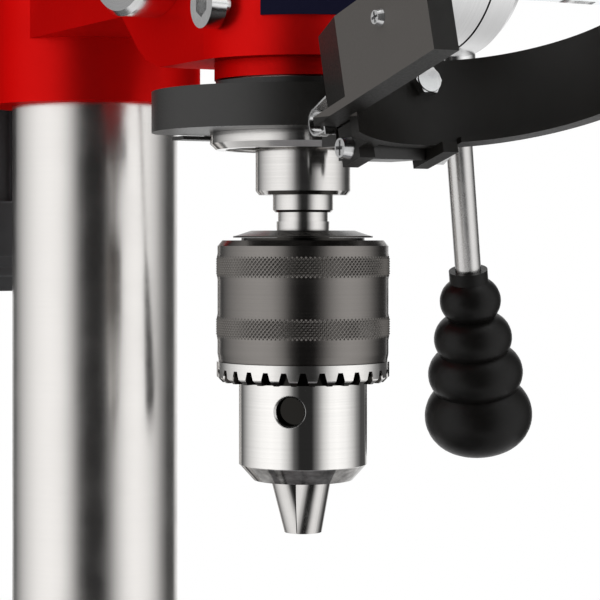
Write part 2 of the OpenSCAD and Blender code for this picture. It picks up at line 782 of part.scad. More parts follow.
module feed_hub() {
  color("silver") difference() {
    at_feed() union() {
      translate([0, 0, 36.5]) cylinder(r = 20, h = 40);
      translate([0, 0, 70]) cylinder(r = hub_r, h = 9);
      translate([0, 0, 79 - eps]) cylinder(r1 = hub_r, r2 = hub_r - 3, h = 3.5);
      translate([0, 0, 82.5 - 2 * eps]) cylinder(r1 = hub_r - 3, r2 = hub_r - 12, h = 5);
      for (i = [0 : 2])
        translate([0, 0, rod_root]) rotate(rod_turn + 120 * i) rotate([0, 90 - rod_tilt, 0])
          translate([0, 0, 27]) cylinder(r = rod_r + 3, h = 15);
    }
    at_feed() translate([0, 0, 30]) cylinder(r = 10 + fit, h = 46);
    for (i = [0 : 2])
      at_lever(i) translate([0, 0, 13]) cylinder(r = rod_r + fit, h = 50);
  }
}

module lever_rods() {
  color("silver") for (i = [0 : 2])
    at_lever(i) translate([0, 0, 13.2]) cylinder(r = rod_r, h = rod_len - 13.2 + 16);
}

module lever_knobs() {
  color("black") for (i = [0 : 2])
    at_lever(i) translate([0, 0, rod_len]) difference() {
      rotate_extrude() intersection() {
        union() {
          square([6.7, 60]);
          translate([2.4, 11.2]) circle(8.2);
          translate([5, 25]) circle(8.6);
          translate([7.4, 38]) circle(9.2);
          translate([0, 38]) square([8, 14]);
          translate([6.1, knob_len - 12.8]) circle(12.8);
          translate([0, knob_len - 12.8]) square([6.1, 12.8]);
        }
        square([40, knob_len]);
      }
      translate([0, 0, -1]) cylinder(r = rod_r + fit, h = 18);
    }
}

module depth_ring() {
  color("silver") at_feed() translate([0, 0, 42]) difference() {
    cylinder(r = hub_r - 0.4, h = 27.6);
    translate([0, 0, -1]) cylinder(r = 20 + fit, h = 40);
    translate([0, 0, 25.2]) cylinder(r = 27.5, h = 5);
    rotate(150) translate([0, 0, 13]) rotate([0, 90, 0]) cylinder(r = 2.5 + fit, h = 40);
  }
}

module depth_screw() {
  color("black") at_feed() translate([0, 0, 55]) rotate(150) rotate([0, 90, 0]) {
    translate([0, 0, 21]) cylinder(r = 2.5, h = 16);
    translate([0, 0, 36]) cylinder(r = 6, h = 8);
  }
}

module guard_holder() {
  cx = 5;
  cu = 51;
  rear = 25.4;
  color("black") difference() {
    at_guard() union() {
      translate([-cheek_out, -69, cheek_low]) cube([cheek_t, 69 - rear + eps, cheek_h]);
      translate([-cheek_out, -69, cheek_low]) cube([cheek_t, 61.3, 2.4]);
      translate([0, 0, cheek_low]) linear_extrude(cheek_h) polygon([
        [-cheek_out, -rear],
        [-cheek_out + 3.6, -10],
        [-cheek_out + cheek_t, -10],
        [-cheek_out + cheek_t, -rear]
      ]);
      translate([cx, -cu, band_low]) linear_extrude(band_h) difference() {
        circle(band_r + band_t, $fn = 96);
        circle(band_r, $fn = 96);
        translate([-60, -72]) square([120, 60]);
        translate([-60, -60]) square([60 - cx - cheek_out + cheek_t - 1.5, 120]);
      }
      translate([cx, -cu, band_low]) linear_extrude(1.6) difference() {
        circle(band_r + 1, $fn = 96);
        circle(band_r - 2.2, $fn = 96);
        translate([-60, -72]) square([120, 60]);
        translate([-60, -60]) square([70, 120]);
      }
      difference() {
        for (s = [-1, 1])
          translate([s * ear_x - ear_t / 2, -16, band_low]) cube([ear_t, 18, 6 - band_low]);
        translate([cx, -cu, band_low - 1]) cylinder(r = band_r + 1, h = 20, $fn = 96);
      }
      translate([-ear_x - ear_t / 2, -7.5, -5]) cube([ear_t, 9.5, 3]);
      translate([ear_x - ear_t / 2, -14, -5]) cube([ear_t, 16, 3]);
    }
    at_chuck() translate([-30, -pin_front, pin_up]) rotate([0, 90, 0]) cylinder(r = pin_r + 0.1, h = 60);
    at_guard() translate([7.6, 0, 15.7]) rotate([90, 0, 0]) cylinder(r = 2 + fit, h = 20);
    at_guard() translate([7.6, -11.2, 15.7]) rotate([90, 0, 0]) cylinder(r = 4.7, h = 5);
    at_guard() translate([-cheek_out - 1, -47.2, 19.6]) rotate([0, 90, 0]) cylinder(r = 1.5 + fit, h = 20);
    for (u = [50, 62])
      at_guard() translate([-cheek_out + cheek_t / 2, -u, cheek_top - 9]) cylinder(r = 1.5 + fit, h = 12);
  }
}

module guard_screen() {
  color("lightcyan", 0.4) at_guard() difference() {
    union() {
      translate([-cheek_out, -105, cheek_top + fit]) cube([79, 60, 2]);
      translate([50, -60, 0]) cube([2, 14, cheek_top + 1]);
      translate([48.1, -60, 0]) cube([3, 6, 16]);
    }
    for (u = [50, 62])
      translate([-cheek_out + cheek_t / 2, -u, cheek_top - 1]) cylinder(r = 1.5 + fit, h = 6);
  }
}

module guard_screws() {
  color("silver") at_guard() {
    translate([7.6, -11.25, 15.7]) rotate([90, 0, 0]) {
      difference() {
        cylinder(r = 4.2, h = 3.4, $fn = 6);
        difference() {
          translate([0, 0, 2.9]) cylinder(r = 6, h = 1);
          translate([0, 0, 2.8]) cylinder(r1 = 3.75, r2 = 3.4, h = 1.2);
        }
      }
      translate([0, 0, -5]) cylinder(r = 2, h = 5.1);
    }
    translate([-cheek_out - fit, -47.2, 19.6]) rotate([0, -90, 0]) cross_screw(1.5, 2.4, 1.6, 6);
    for (u = [50, 62])
      translate([-cheek_out + cheek_t / 2, -u, cheek_top + 2 + 2 * fit]) cross_screw(1.5, 2.8, 1.8, 8);
  }
}

module guard_clip() {
  color("silver") at_guard() translate([-cheek_out + 3.6, 0, 0]) rotate([90, 0, 90]) linear_extrude(3.4) {
    difference() {
      translate([-2.6, 6.3]) circle(3.9);
      translate([-2.6, 6.3]) circle(3.3);
      translate([-9, -2]) square([6.4, 20]);
    }
    polygon([[-2.5, 10.15], [-9.8, 11.4], [-9.8, 10.8], [-2.5, 9.65]]);
    polygon([[-2.5, 2.45], [-7.2, 2.2], [-7.2, 2.8], [-2.5, 2.95]]);
    polygon([[-6.6, 1.5], [-7.2, 1.5], [-7.2, 3.9], [-6.6, 3.9]]);
  }
}

// Stepped pulley from z = 0 upwards; order 1 puts the largest step lowest
module step_pulley(order) {
  for (i = [0 : 4])
    translate([0, 0, i * step_h]) rotate_extrude() {
      r = step_mid + order * (2 - i) * step_d;
      polygon([[0, 0], [r, 0], [r, 1.5], [r - 6, 4.5], [r - 6, 9.5], [r, 12.5], [r, step_h + eps], [0, step_h + eps]]);
    }
}

module spindle_pulley() {
  color("lightgray") translate([0, -axis_gap, 0]) difference() {
    union() {
      translate([0, 0, pulley_z]) step_pulley(1);
      translate([0, 0, head_top - 15]) cylinder(r = 10, h = 40);
      translate([0, 0, head_top - 1.8]) cylinder(r = 14, h = 20);
    }
    translate([0, 0, head_top - 20]) linear_extrude(140) spline(0.1);
  }
}

// Section of the belt: the radius from a pulley axis and the height from the belt's middle
module belt_section() {
  polygon([[belt_in, -2.4], [belt_out, -4.95], [belt_out, 4.95], [belt_in, 2.4]]);
}

module belt() {
  color("black") translate([0, 0, pulley_z + 2.5 * step_h]) {
    translate([0, -axis_gap, 0]) rotate(180) rotate_extrude(angle = 180) belt_section();
    translate([0, motor_back, 0]) rotate_extrude(angle = 180) belt_section();
    for (s = [0, 1])
      mirror([s, 0, 0]) translate([0, motor_back, 0]) rotate([90, 0, 0])
        linear_extrude(motor_back + axis_gap) belt_section();
  }
}

module motor() {
  color("dimgray") difference() {
    union() {
      translate([0, motor_back, motor_z + 6]) cylinder(r = motor_r - 3, h = motor_len - 6);
      translate([0, motor_back, motor_z]) cylinder(r1 = motor_r - 10, r2 = motor_r, h = 14);
      translate([0, motor_back, motor_z + 14 - eps]) cylinder(r = motor_r, h = 22);
      translate([0, motor_back, motor_top - 20]) cylinder(r = motor_r, h = 20);
      for (a = [0 : 15 : 345])
        translate([0, motor_back, motor_z + 35]) rotate(a) translate([motor_r - 5, -1.2, 0]) cube([5, 2.4, motor_len - 54]);
      translate([-42, plate_y + 8.1, head_top - 134]) cube([84, 40, 92]);
    }
    translate([0, motor_back, head_top - 160]) cylinder(r = 6 + fit, h = 200);
    translate([0, motor_back, motor_top - 10]) cylinder(r = 14, h = 20);
    for (s = [-1, 1], z = [-112, -64])
      translate([s * 30, plate_y, head_top + z]) rotate([-90, 0, 0]) cylinder(r = 4 + fit, h = 22);
  }
}

module motor_plate() {
  color("dimgray") difference() {
    translate([-62, plate_y, head_top - 140]) cube([124, 8, 104]);
    for (s = [-1, 1])
      translate([s * bar_x, plate_y - 1, bar_z]) rotate([-90, 0, 0]) cylinder(r = bar_r + fit, h = 10);
    for (s = [-1, 1], z = [-112, -64])
      translate([s * 30, plate_y - 1, head_top + z]) rotate([-90, 0, 0]) cylinder(r = 4 + loose, h = 10);
  }
}

module slide_bars() {
  color("silver") for (s = [-1, 1])
    translate([s * bar_x, -44, bar_z]) rotate([-90, 0, 0]) cylinder(r = bar_r, h = plate_y + 44 + 8);
}

module motor_bolts() {
  color("silver") for (s = [-1, 1], z = [-112, -64])
    translate([s * 30, plate_y - fit, head_top + z]) rotate([90, 0, 0]) hex_bolt(4, 13, 5.3, 22);
}

module motor_shaft() {
  color("silver") translate([0, motor_back, head_top - 150]) cylinder(r = 6, h = 150 + 88);
}

module motor_pulley() {
  color("lightgray") translate([0, motor_back, 0]) difference() {
    translate([0, 0, pulley_z]) step_pulley(-1);
    translate([0, 0, pulley_z - 1]) cylinder(r = 6 + fit, h = 100);
  }
}

module tension_knob() {
  color("black") translate([-bar_x - 12.6, -30, bar_z]) rotate([0, -90, 0]) {
    difference() {
      cylinder(r = 12, h = 12);
      for (a = [0 : 45 : 315])
        rotate(a) translate([14, 0, -1]) cylinder(r = 4, h = 20);
    }
    translate([0, 0, -4.5]) cylinder(r = 4, h = 5);
  }
}

module lid() {
  color("dimgray") translate([0, 0, lid_z]) difference() {
    union() {
      linear_extrude(lid_h) belt_outline(tray_r);
      for (y = [-84, 116])
        translate([lid_pin_x, y - 13.6, -0.4]) rotate([-90, 0, 0]) cylinder(r = 4, h = 10);
      for (y = [-84, 116])
        translate([lid_pin_x, y - 13.6, 0]) cube([6, 10, 4]);
    }
    translate([0, 0, -1]) linear_extrude(lid_h - sheet + 1) belt_outline(tray_r - sheet);
    for (y = [-84, 116])
      translate([lid_pin_x, y - 15, -0.4]) rotate([-90, 0, 0]) cylinder(r = 2 + fit, h = 14);
    translate([tray_r - 10, 40, 20]) rotate([0, 90, 0]) cylinder(r = 3 + fit, h = 20);
  }
}

module lid_knob() {
  color("black") translate([tray_r + fit, 40, lid_z + 20]) rotate([0, 90, 0]) {
    cylinder(r = 7, h = 3);
    cylinder(r = 5, h = 10);
    translate([0, 0, 10 - eps]) cylinder(r1 = 5, r2 = 9, h = 4);
    translate([0, 0, 14 - 2 * eps]) cylinder(r1 = 9, r2 = 7, h = 5);
    translate([0, 0, -6]) cylinder(r = 3, h = 7);
  }
}

module table_bracket() {
  color("dimgray") difference() {
    union() {
      translate([0, 0, tilt_z - clamp_h / 2]) cylinder(r = clamp_r, h = clamp_h);
      translate([0, arm_y, tilt_z]) rotate([-90, 0, 0]) cylinder(r = tilt_r, h = 24);
      translate([-17, arm_y + 10, tilt_z - 22]) cube([34, 30, 44]);
      translate([-16, clamp_r - 8, tilt_z - 24]) cube([32, 30, 48]);
    }
    translate([0, 0, tilt_z - clamp_h]) cylinder(r = col_r + fit, h = 2 * clamp_h);
    translate([-2, 0, tilt_z - clamp_h]) cube([4, 90, 2 * clamp_h]);
    translate([-20, clamp_r + 12, tilt_z]) rotate([0, 90, 0]) cylinder(r = 6 + fit, h = 50);
    translate([0, arm_y - 1, tilt_z]) rotate([-90, 0, 0]) cylinder(r = 7 + fit, h = 18);
  }
}

module tilt_bolt() {
  color("silver") translate([0, arm_y + 16.8, tilt_z]) rotate([90, 0, 0]) {
    cylinder(r = 7, h = 16.8 + 18.4);
    translate([0, 0, 16.8 + 18.3]) cylinder(r = 12.7, h = 9, $fn = 6);
  }
}

module clamp_lever() {
  color("black") translate([16.3, clamp_r + 12, tilt_z]) {
    rotate([0, 90, 0]) cylinder(r = 12, h = 16);
    translate([-34, 0, 0]) rotate([0, 90, 0]) cylinder(r = 6, h = 36);
    translate([10, 0, 0]) rotate([-50, 0, 0]) translate([0, 6, 0]) rotate([-90, 0, 0]) {
      cylinder(r = 5, h = 62);
      translate([0, 0, 62]) sphere(r = 11);
    }
  }
}

module table() {
  ty = arm_y - 4 - table_d / 2;
  color("dimgray") difference() {
    union() {
      translate([0, ty, table_top - table_t]) rounded_plate(table_w, table_d, table_t, 14);
      translate([0, arm_y - 0.3, tilt_z]) rotate([90, 0, 0]) cylinder(r = tilt_r, h = 18);
      translate([-24, arm_y - 18.3, tilt_z]) cube([48, 14, tilt_down - table_t + 1]);
      for (s = [-1, 1])
        translate([s * 20 - 4, ty - 60, table_top - table_t - 12]) cube([8, table_d / 2 + 40, 13]);
      translate([-70, ty - 4, table_top - table_t - 12]) cube([140, 8, 13]);
      translate([0, -axis_gap, table_top - table_t - 14]) cylinder(r = 26, h = 15);
    }
    translate([0, arm_y - 30, tilt_z]) rotate([-90, 0, 0]) cylinder(r = 7 + fit, h = 40);
    translate([0, arm_y - 44, tilt_z]) rotate([-90, 0, 0]) cylinder(r = 17, h = 25.6);
    translate([0, -axis_gap, 0]) cylinder(r = 15, h = 400);
    for (s = [-1, 1], t = [-1, 1])
      translate([s * 62, ty + t * 58, table_top - 40]) rotate(s * t * 45) slot_x(62, 7, 60);
  }
}

base();
column_flange();
flange_bolts();
column();
head();
head_screws();
front_plate();
spring_cap();
return_spring();
quill_lock();
belt_tray();
tray_screws();
lid_pin();
pulley_bearing();
switch_box();
quill();
quill_ring();
quill_bearings();
guard_collar();
collar_screw();
guard_pin();
spindle();
arbor();
chuck_body();
chuck_cap();
chuck_sleeve();
tooth_ring();
chuck_nut();
jaw_a();
jaw_b();
jaw_c();
feed_shaft();
feed_hub();
lever_rods();
lever_knobs();
depth_ring();
depth_screw();
guard_holder();
guard_screen();
guard_screws();
guard_clip();
spindle_pulley();
motor();
motor_plate();
slide_bars();
motor_bolts();
belt();
motor_shaft();
motor_pulley();
tension_knob();
lid();
lid_knob();
table_bracket();
tilt_bolt();
clamp_lever();
table();
button_on();
button_off();
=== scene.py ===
"""Studio scene for the bench pillar drill: materials, fine surface pieces, camera and light."""
import math

import bmesh
import bpy
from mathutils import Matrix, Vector


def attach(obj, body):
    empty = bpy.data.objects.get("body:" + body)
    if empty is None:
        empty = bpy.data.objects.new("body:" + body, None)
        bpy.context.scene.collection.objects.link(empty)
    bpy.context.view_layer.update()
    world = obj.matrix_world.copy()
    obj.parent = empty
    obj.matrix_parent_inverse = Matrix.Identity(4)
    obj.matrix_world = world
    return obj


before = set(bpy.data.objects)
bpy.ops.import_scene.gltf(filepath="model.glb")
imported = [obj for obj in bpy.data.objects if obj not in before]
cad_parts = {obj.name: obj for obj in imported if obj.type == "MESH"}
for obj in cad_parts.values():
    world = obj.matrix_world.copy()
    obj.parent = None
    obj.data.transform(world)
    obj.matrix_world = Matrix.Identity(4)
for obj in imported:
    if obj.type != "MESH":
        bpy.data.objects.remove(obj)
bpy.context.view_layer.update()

MM = 0.001

# Places shared with the part's source, in metres
COLUMN = (0, 0, 0)
SPINDLE_Y = -156 * MM
SPINDLE = (0, SPINDLE_Y, 0)
FEED = (0, -124 * MM, 590 * MM)
MOTOR = (0, 140 * MM, 0)
CHUCK_Z = 495 * MM
SLEEVE_R = 25.45 * MM
TOOTH_ROOT_R = 25.4 * MM
BODY_R = 19.1 * MM
BODY_RECESS_R = BODY_R - 0.4 * MM
BODY_RECESS_Z = CHUCK_Z - 66 * MM
BODY_BEVEL_Z = CHUCK_Z - 66.9 * MM
KEY_Z = CHUCK_Z - 50 * MM
KEY_TURNS = (-41, 79, 199)

# Camera fitted to the photograph, for a picture 600 pixels wide
VIEW_TURN = math.radians(29.1)
VIEW_DEPTH = 603 * MM
FOCAL_PX = 2025
IMAGE_PX = 600
SENSOR_MM = 36
SPINDLE_PX = 303
HORIZON_PX = 239

# Into the picture, to its right and up; the camera aims at the chuck's top
SIGHT = Vector((math.sin(VIEW_TURN), math.cos(VIEW_TURN), 0))
RIGHT = Vector((math.cos(VIEW_TURN), -math.sin(VIEW_TURN), 0))
UP = Vector((0, 0, 1))
AIM = Vector((0, SPINDLE_Y, CHUCK_Z))


def new_object(name, data):
    """An object with its data, linked to the scene."""
    thing = bpy.data.objects.new(name, data)
    bpy.context.scene.collection.objects.link(thing)
    return thing


# Shader nodes

def start_material(name):
    """A new material; returns it with its node tree and its shader."""
    material = bpy.data.materials.new(name)
    material.use_nodes = True
    tree = material.node_tree
    return material, tree, tree.nodes["Principled BSDF"]


def feed(tree, node, values):
    """Gives a node its first inputs; each value is a socket to link or a constant."""
    for socket, value in zip(node.inputs, values):
        if isinstance(value, bpy.types.NodeSocket):
            tree.links.new(value, socket)
        else:
            socket.default_value = value


def calculate(tree, operation, first, second):
    """The result of a math node."""
    node = tree.nodes.new("ShaderNodeMath")
    node.operation = operation
    feed(tree, node, (first, second))
    return node.outputs["Value"]


def vector_node(tree, operation, *values):
    """A vector math node with its inputs."""
    node = tree.nodes.new("ShaderNodeVectorMath")
    node.operation = operation
    feed(tree, node, values)
    return node


def along(tree, vector, direction):
    """The part of a vector along a direction."""
    return vector_node(tree, "DOT_PRODUCT", vector, direction).outputs["Value"]


def object_coords(tree, scale=(1, 1, 1)):
    """Object coordinates stretched by a scale for each axis."""
    coords = tree.nodes.new("ShaderNodeTexCoord")
    mapping = tree.nodes.new("ShaderNodeMapping")
    mapping.inputs["Scale"].default_value = scale
    tree.links.new(coords.outputs["Object"], mapping.inputs["Vector"])
    return mapping.outputs["Vector"]


def turned_coords(tree, axis, centre):
    """The distance from an axis as X and the place along it as Y, as a lathe cuts."""
    coords = tree.nodes.new("ShaderNodeTexCoord")
    shift = vector_node(tree, "SUBTRACT", coords.outputs["Object"], centre)
    split = tree.nodes.new("ShaderNodeSeparateXYZ")
    tree.links.new(shift.outputs["Vector"], split.inputs["Vector"])
    flat = tree.nodes.new("ShaderNodeCombineXYZ")
    feed(tree, flat, [split.outputs[name] for name in "XYZ" if name != axis])
    ring = tree.nodes.new("ShaderNodeCombineXYZ")
    distance = vector_node(tree, "LENGTH", flat.outputs["Vector"]).outputs["Value"]
    feed(tree, ring, (distance, split.outputs[axis]))
    return ring.outputs["Vector"]


def noise(tree, vector, scale, detail=4.0, rough=0.55):
    """A noise texture's factor."""
    texture = tree.nodes.new("ShaderNodeTexNoise")
    texture.inputs["Scale"].default_value = scale
    texture.inputs["Detail"].default_value = detail
    texture.inputs["Roughness"].default_value = rough
    tree.links.new(vector, texture.inputs["Vector"])
    return texture.outputs["Fac"]


def remap(tree, value, start, stop, low=0.0, high=1.0):
    """Maps start to low and stop to high, and holds the ends."""
    node = tree.nodes.new("ShaderNodeMapRange")
    node.inputs["From Min"].default_value = start
    node.inputs["From Max"].default_value = stop
    node.inputs["To Min"].default_value = low
    node.inputs["To Max"].default_value = high
    tree.links.new(value, node.inputs["Value"])
    return node.outputs["Result"]


# Most of a noise texture's values lie between these
NOISE_LOW = 0.3
NOISE_HIGH = 0.7


def span(tree, value, low, high):
    """Maps a noise value to a range."""
    return remap(tree, value, NOISE_LOW, NOISE_HIGH, low, high)


def ramp(tree, value, stops):
    """Maps a value to colours; stops are pairs of place and colour."""
    node = tree.nodes.new("ShaderNodeValToRGB")
    elements = node.color_ramp.elements
    while len(elements) < len(stops):
        elements.new(0.5)
    for element, (place, colour) in zip(elements, stops):
        element.position = place
        element.color = (*colour, 1.0)
    tree.links.new(value, node.inputs["Fac"])
    return node.outputs["Color"]


def shade(colour, factor):
    """A colour made lighter or darker."""
    return tuple(min(1.0, c * factor) for c in colour)


def mottle(tree, value, colour, dark, light):
    """A colour between a darker and a lighter shade by a noise value."""
    return ramp(tree, value, [(NOISE_LOW, shade(colour, dark)), (NOISE_HIGH, shade(colour, light))])


def blend_colour(tree, factor, first, second):
    """Goes from a linked colour to a fixed one by a factor."""
    mix = tree.nodes.new("ShaderNodeMix")
    mix.data_type = "RGBA"
    tree.links.new(factor, mix.inputs["Factor"])
    tree.links.new(first, mix.inputs["A"])
    mix.inputs["B"].default_value = (*second, 1.0)
    return mix.outputs["Result"]


def bump(tree, shader, value, strength, height_mm):
    """Lifts the surface by a value."""
    node = tree.nodes.new("ShaderNodeBump")
    node.inputs["Strength"].default_value = strength
    node.inputs["Distance"].default_value = height_mm * MM
    tree.links.new(value, node.inputs["Height"])
    tree.links.new(node.outputs["Normal"], shader.inputs["Normal"])


# Match of the rounded normal with the surface's own where an edge starts and where it is full
EDGE_MATCH = (0.985, 0.88)


def sharp_edges(tree, radius):
    """One along sharp edges, where a rounded normal leaves the surface's own; zero elsewhere."""
    rounded = tree.nodes.new("ShaderNodeBevel")
    rounded.samples = 8
    rounded.inputs["Radius"].default_value = radius
    surface = tree.nodes.new("ShaderNodeNewGeometry")
    match = along(tree, rounded.outputs["Normal"], surface.outputs["Normal"])
    return remap(tree, match, *EDGE_MATCH)


def mix_shaders(tree, factor, first, second, output):
    """Sends a mix of two shaders to an output node."""
    mix = tree.nodes.new("ShaderNodeMixShader")
    feed(tree, mix, (factor, first, second))
    tree.links.new(mix.outputs["Shader"], output.inputs["Surface"])


# Materials

def turned_metal(name, colour, rough, axis, centre, lines=2200, lift=0.12, streak=0.05):
    """Metal from a lathe: fine rings in colour, roughness and height."""
    material, tree, shader = start_material(name)
    shader.inputs["Metallic"].default_value = 1.0
    rings = noise(tree, turned_coords(tree, axis, centre), lines, 3.0, 0.7)
    blotch = noise(tree, object_coords(tree), 60, 3.0)
    skin = mottle(tree, rings, colour, 1 - streak, 1 + streak)
    tree.links.new(skin, shader.inputs["Base Color"])
    fine = span(tree, rings, -0.5 * streak, 0.5 * streak)
    broad = span(tree, blotch, rough - 0.03, rough + 0.05)
    tree.links.new(calculate(tree, "ADD", fine, broad), shader.inputs["Roughness"])
    bump(tree, shader, rings, lift, 0.02)
    return material


# Painted shade: near black painted into recesses, and how far it fades in
PAINTED_SHADE = (0.035, 0.033, 0.03)
PAINTED_SHADE_FADE = 0.25 * MM
OIL = (0.1, 0.095, 0.09)
OIL_FADE = 0.2 * MM


def recess_shaded_metal(name, colour, rough, centre, radius, floor, stain=None):
    """Turned metal: painted shade darkens it in recesses inside a radius and over a floor; oily
    under a stain.
    """
    material, tree, shader = start_material(name)
    shader.inputs["Metallic"].default_value = 1.0
    place = turned_coords(tree, "Z", centre)
    rings = noise(tree, place, 1700, 3.0, 0.7)
    split = tree.nodes.new("ShaderNodeSeparateXYZ")
    tree.links.new(place, split.inputs["Vector"])
    distance, height = split.outputs["X"], split.outputs["Y"]
    # Painted shade: darkens the metal inside the radius and above the floor, where shade falls in
    # the recess
    inside = remap(tree, distance, radius, radius - PAINTED_SHADE_FADE)
    dark = calculate(tree, "MULTIPLY", inside, calculate(tree, "GREATER_THAN", height, floor))
    skin = blend_colour(tree, dark, mottle(tree, rings, colour, 0.96, 1.04), PAINTED_SHADE)
    if stain is not None:
        below = remap(tree, height, stain + OIL_FADE, stain - OIL_FADE)
        patches = noise(tree, object_coords(tree, (1, 1, 1.6)), 190, 5.0, 0.65)
        oily = calculate(tree, "MULTIPLY", below, span(tree, patches, 0.35, 1.0))
        skin = blend_colour(tree, oily, skin, OIL)
    tree.links.new(skin, shader.inputs["Base Color"])
    tree.links.new(span(tree, rings, rough - 0.015, rough + 0.015), shader.inputs["Roughness"])
    bump(tree, shader, rings, 0.03, 0.02)
    return material


def bright_metal(name, colour, rough):
    """Plated or ground metal with faint cloudiness."""
    material, tree, shader = start_material(name)
    shader.inputs["Metallic"].default_value = 1.0
    cloud = noise(tree, object_coords(tree), 180)
    skin = ramp(tree, cloud, [(0.35, shade(colour, 0.93)), (0.65, colour)])
    tree.links.new(skin, shader.inputs["Base Color"])
    tree.links.new(span(tree, cloud, rough, rough + 0.08), shader.inputs["Roughness"])
    return material


def gloss_paint(name, colour, rough, flake):
    """Sprayed paint: a share of metallic flake, faint orange peel and slight changes of shade."""
    material, tree, shader = start_material(name)
    vector = object_coords(tree)
    cloud = noise(tree, vector, 25, 3.0)
    peel = noise(tree, vector, 700, 2.0)
    tree.links.new(mottle(tree, cloud, colour, 0.94, 1.04), shader.inputs["Base Color"])
    tree.links.new(span(tree, peel, rough - 0.03, rough + 0.05), shader.inputs["Roughness"])
    shader.inputs["Metallic"].default_value = flake
    shader.inputs["Specular IOR Level"].default_value = 0.0
    shader.inputs["Specular Tint"].default_value = (*shade(colour, 1.3), 1.0)
    bump(tree, shader, peel, 0.06, 0.2)
    return material


# The guard's flat side face, painted paler as painted light where it is lit: its lowest point, and
# how square to X that face is
LIT_CHEEK_Z = 527.5 * MM
LIT_CHEEK_SQUARE = (0.97, 0.99)


def moulded_plastic(name, colour, rough, grain=1400, lift=0.1, shine=0.5, lit_cheek=None):
    """Moulded plastic with a fine spark-eroded grain; an optional colour paints a flat face square
    to X, above a height, paler as painted light.
    """
    material, tree, shader = start_material(name)
    vector = object_coords(tree)
    fine = noise(tree, vector, grain, 3.0)
    cloud = noise(tree, vector, 40, 3.0)
    skin = mottle(tree, cloud, colour, 0.85, 1.15)
    # Painted light: a flat face square to X above the given height gets the paler colour, as the
    # side lit from the left
    if lit_cheek is not None:
        normal = tree.nodes.new("ShaderNodeTexCoord").outputs["Normal"]
        facing = along(tree, normal, (1, 0, 0))
        flat = remap(tree, calculate(tree, "MULTIPLY", facing, facing), *LIT_CHEEK_SQUARE)
        high = calculate(tree, "GREATER_THAN", along(tree, vector, UP), LIT_CHEEK_Z)
        skin = blend_colour(tree, calculate(tree, "MULTIPLY", flat, high), skin, lit_cheek)
    tree.links.new(skin, shader.inputs["Base Color"])
    tree.links.new(span(tree, fine, rough - 0.05, rough + 0.07), shader.inputs["Roughness"])
    shader.inputs["Specular IOR Level"].default_value = shine
    bump(tree, shader, fine, lift, 0.1)
    return material


RUBBED_WIDTH = 1.8 * MM


def cast_paint(name, colour, rough):
    """Painted casting: a lumpy skin under satin paint, rubbed paler in patches along its edges."""
    material, tree, shader = start_material(name)
    vector = object_coords(tree)
    lumps = noise(tree, vector, 160, 5.0, 0.6)
    patches = span(tree, noise(tree, vector, 45), 0.1, 1.0)
    rubbed = calculate(tree, "MULTIPLY", sharp_edges(tree, RUBBED_WIDTH), patches)
    skin = blend_colour(tree, rubbed, mottle(tree, lumps, colour, 0.82, 1.1), shade(colour, 4.0))
    tree.links.new(skin, shader.inputs["Base Color"])
    tree.links.new(span(tree, lumps, rough - 0.06, rough + 0.08), shader.inputs["Roughness"])
    bump(tree, shader, lumps, 0.25, 0.6)
    return material


def clear_sheet(name):
    """Clear plastic sheet with faint wipe marks."""
    material, tree, shader = start_material(name)
    shader.inputs["Base Color"].default_value = (0.95, 0.97, 0.98, 1.0)
    shader.inputs["Transmission Weight"].default_value = 1.0
    shader.inputs["IOR"].default_value = 1.2
    haze = noise(tree, object_coords(tree, (1, 6, 1)), 90)
    tree.links.new(span(tree, haze, 0.01, 0.06), shader.inputs["Roughness"])
    return material


def belt_cover(name):
    """Belt rubber: matt black with the fabric cover's fine weave."""
    material, tree, shader = start_material(name)
    weave = noise(tree, object_coords(tree, (1, 1, 3)), 900, 2.0)
    stops = [(NOISE_LOW, (0.012, 0.012, 0.012)), (NOISE_HIGH, (0.035, 0.035, 0.034))]
    tree.links.new(ramp(tree, weave, stops), shader.inputs["Base Color"])
    shader.inputs["Roughness"].default_value = 0.75
    bump(tree, shader, weave, 0.3, 0.3)
    return material


STEEL = (0.62, 0.605, 0.59)
ALLOY = (0.6, 0.6, 0.61)

red_paint = gloss_paint("red_paint", (0.62, 0.0065, 0.006), 0.34, flake=0.6)
plate_paint = gloss_paint("plate_paint", (0.012, 0.012, 0.03), 0.4, flake=0.0)
black_paint = cast_paint("black_paint", (0.03, 0.03, 0.032), 0.5)

table_iron = turned_metal("table_iron", (0.3, 0.3, 0.31), 0.45, "Z", SPINDLE, lines=900, lift=0.3)
column_steel = turned_metal("column_steel", (0.68, 0.66, 0.64), 0.2, "Z", COLUMN,
                            lines=1600, lift=0.012, streak=0.02)
spindle_steel = turned_metal("spindle_steel", STEEL, 0.12, "Z", SPINDLE, lines=1800, lift=0.04)
feed_steel = turned_metal("feed_steel", (0.7, 0.7, 0.7), 0.16, "X", FEED, lines=1800, lift=0.04)
motor_steel = turned_metal("motor_steel", STEEL, 0.25, "Z", MOTOR)
black_oxide = turned_metal("black_oxide", (0.19, 0.178, 0.168), 0.19, "Z", SPINDLE,
                           lines=1500, lift=0.03)
cap_black = turned_metal("cap_black", (0.06, 0.057, 0.053), 0.24, "Z", SPINDLE,
                         lines=1500, lift=0.03)
pulley_alloy = turned_metal("pulley_alloy", ALLOY, 0.35, "Z", SPINDLE, lines=1500, lift=0.2)
motor_alloy = turned_metal("motor_alloy", ALLOY, 0.35, "Z", MOTOR, lines=1500, lift=0.2)

# The chuck body's recess and the tooth ring's gaps get painted shade.
chuck_steel = recess_shaded_metal("chuck_steel", (0.76, 0.745, 0.725), 0.08, SPINDLE,
                           radius=BODY_RECESS_R, floor=BODY_RECESS_Z, stain=BODY_BEVEL_Z)
tooth_steel = recess_shaded_metal("tooth_steel", (0.74, 0.725, 0.705), 0.14, SPINDLE,
                           radius=TOOTH_ROOT_R, floor=0.0)

